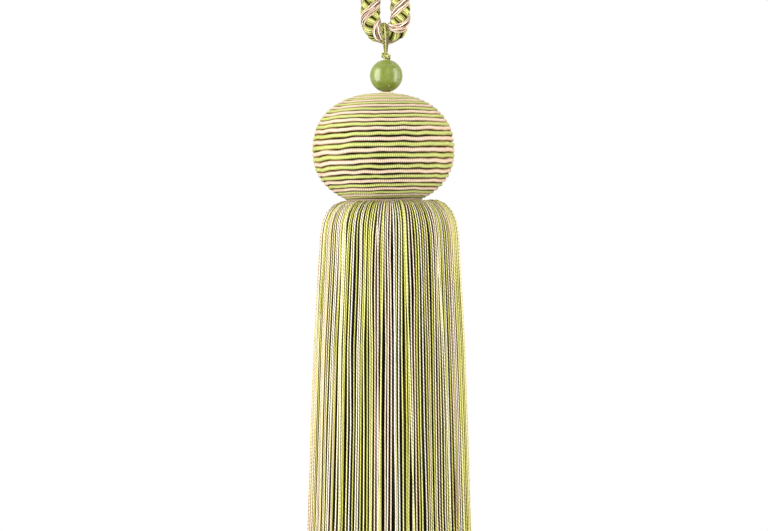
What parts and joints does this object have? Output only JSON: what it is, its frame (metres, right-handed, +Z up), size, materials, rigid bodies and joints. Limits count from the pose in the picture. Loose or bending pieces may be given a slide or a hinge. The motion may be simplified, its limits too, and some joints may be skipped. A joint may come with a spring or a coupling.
{
  "type": "hanging tassel with rope loop",
  "caption": "Hanging tassel: a braided rope loop, a knotted thread and a painted bead carry a ball head wound with gimp cord, over a long straight skirt of yarn strands",
  "frame": {"origin": "the point where a hook bears, on the axis under the top bend of the rope loop", "axes": "+Z up along the hanging tassel, front towards -Y, the rope loop lies in the XZ plane"},
  "size_m": [0.0799, 0.08, 0.3283],
  "materials": {
    "rope_yarn": "silky braided yarn, lime green with pink and cream strands",
    "thread_yarn": "fine twisted thread, grey-green",
    "bead_paint": "gloss green paint",
    "gimp_cord": "silky gimp cord, pink and lime green turn by turn",
    "skirt_yarn": "silky twisted yarn, lime green with pink, cream and white strands"
  },
  "bodies": {
    "root": {"rope_loop": "rope_yarn", "suspension_thread": "thread_yarn", "bead": "bead_paint", "head": "gimp_cord", "skirt": "skirt_yarn"}
  },
  "joints": []
}
